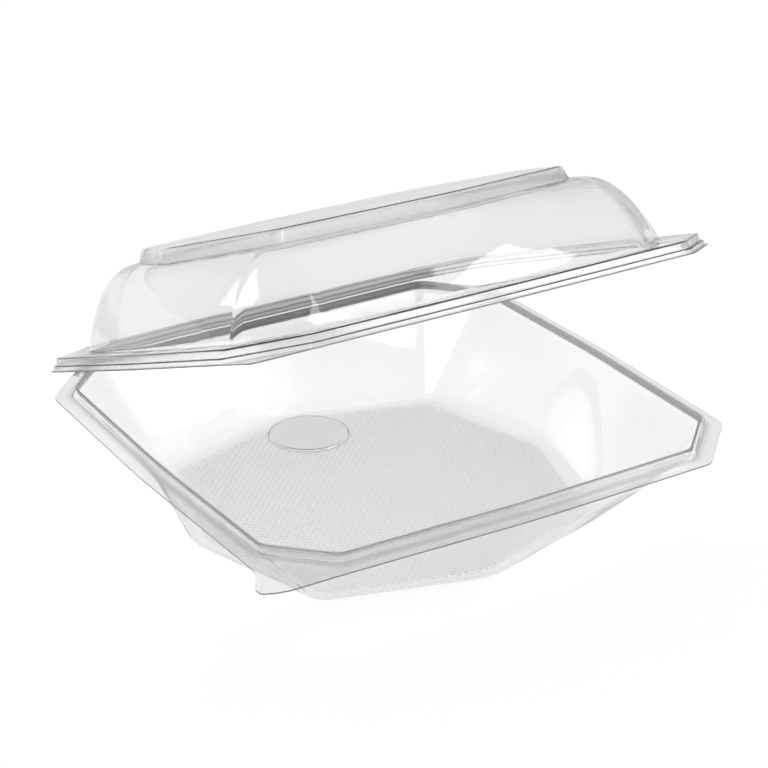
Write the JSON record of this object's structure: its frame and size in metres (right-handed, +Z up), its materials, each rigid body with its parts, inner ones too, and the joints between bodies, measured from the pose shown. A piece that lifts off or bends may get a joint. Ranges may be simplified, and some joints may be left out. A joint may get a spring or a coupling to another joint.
{
  "type": "hinged food pack",
  "caption": "Clear moulded food pack with a faceted tray, a domed lid with a raised stacking step, and a film hinge along the back edge.",
  "frame": {"origin": "on the table, under the middle of the tray's flange", "axes": "+Z up, -Y to the front edge that opens, +X to the right seen from the front; hinge along X at the back"},
  "size_m": [0.218, 0.2128, 0.1441],
  "materials": {
    "clear_sheet": "gloss"
  },
  "bodies": {
    "tray": {"base_tray": "clear_sheet", "hinge_film": "clear_sheet"},
    "lid": {"lid": "clear_sheet"}
  },
  "joints": [
    {"name": "lid_hinge", "type": "hinge", "parent": "tray", "child": "lid", "pos_m": [0, 0.1054, 0.0379], "axis": [-1, 0, 0], "range_deg": [-22, 143]}
  ]
}
